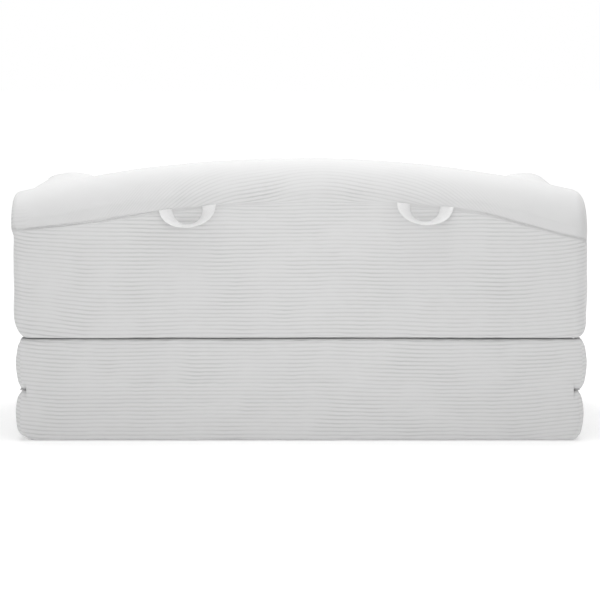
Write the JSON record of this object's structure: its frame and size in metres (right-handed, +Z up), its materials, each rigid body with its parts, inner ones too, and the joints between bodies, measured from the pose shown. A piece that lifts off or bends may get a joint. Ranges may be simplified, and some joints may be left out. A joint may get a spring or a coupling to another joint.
{
  "type": "folding sofa bed",
  "caption": "Low foam sofa with arms and an arched back, in a ribbed fabric cover, that unfolds in a zigzag into a flat bed; carrying handles hang at the rear.",
  "frame": {"origin": "centre of the base cushion's underside, on the floor", "axes": "+Z up; the side people sit on faces -Y and the back faces +Y; +X is the sitter's left, along the sofa's length"},
  "size_m": [1.4, 0.7316, 0.679],
  "materials": {
    "cover": "matte",
    "underside": "matte",
    "foam": "matte",
    "tape": "matte",
    "zip": "satin",
    "metal": "satin"
  },
  "bodies": {
    "base": {"base_cover": "cover", "base_underside": "underside", "base_foam": "foam", "base_zip_tape": "zip", "rear_fold_strip": "cover"},
    "middle": {"middle_cover": "cover", "middle_underside": "underside", "middle_foam": "foam", "middle_zip_tape": "zip", "front_fold_strip": "cover"},
    "top": {"top_underside": "underside", "seat_cover": "cover", "seat_foam": "foam", "left_arm_cover": "cover", "left_arm_foam": "foam", "right_arm_cover": "cover", "right_arm_foam": "foam", "back_cover": "cover", "rear_panel": "cover", "back_foam": "foam", "top_zip_tape": "zip"},
    "left_handle": {"left_handle": "tape"},
    "right_handle": {"right_handle": "tape"},
    "base_zip_slider": {"base_zip_slider": "metal"},
    "base_zip_puller": {"base_zip_puller": "metal"},
    "middle_zip_slider": {"middle_zip_slider": "metal"},
    "middle_zip_puller": {"middle_zip_puller": "metal"},
    "top_zip_slider": {"top_zip_slider": "metal"},
    "top_zip_puller": {"top_zip_puller": "metal"}
  },
  "joints": [
    {"name": "rear_fold", "type": "hinge", "parent": "base", "child": "middle", "pos_m": [0, 0.35, 0.1245], "axis": [-1, 0, 0], "range_deg": [0, 180]},
    {"name": "front_fold", "type": "hinge", "parent": "middle", "child": "top", "pos_m": [0, -0.35, 0.25], "axis": [-1, 0, 0], "range_deg": [-180, 0]},
    {"name": "left_handle_swing", "type": "hinge", "parent": "top", "child": "left_handle", "pos_m": [0.27, 0.351, 0.56742], "axis": [0.9951, 0, -0.0988], "range_deg": [0, 125]},
    {"name": "right_handle_swing", "type": "hinge", "parent": "top", "child": "right_handle", "pos_m": [-0.3, 0.351, 0.57361], "axis": [0.997, 0, 0.0773], "range_deg": [0, 125]},
    {"name": "base_zip_slide", "type": "slide", "parent": "base", "child": "base_zip_slider", "axis": [0, 1, 0], "range_m": [0, 0.522]},
    {"name": "base_puller_swing", "type": "hinge", "parent": "base_zip_slider", "child": "base_zip_puller", "pos_m": [-0.6919, -0.261, 0.06175], "axis": [0, 0, 1], "range_deg": [0, 175]},
    {"name": "middle_zip_slide", "type": "slide", "parent": "middle", "child": "middle_zip_slider", "axis": [0, 1, 0], "range_m": [0, 0.522]},
    {"name": "middle_puller_swing", "type": "hinge", "parent": "middle_zip_slider", "child": "middle_zip_puller", "pos_m": [-0.6959, -0.261, 0.18725], "axis": [0, 0, 1], "range_deg": [0, 175]},
    {"name": "top_zip_slide", "type": "slide", "parent": "top", "child": "top_zip_slider", "axis": [0, 1, 0], "range_m": [0, 0.322]},
    {"name": "top_puller_swing", "type": "hinge", "parent": "top_zip_slider", "child": "top_zip_puller", "pos_m": [-0.6899, -0.2537, 0.311], "axis": [0, 0, 1], "range_deg": [0, 175]}
  ],
  "couplings": [
    {"joint": "front_fold", "follows": "rear_fold", "ratio": -1}
  ]
}
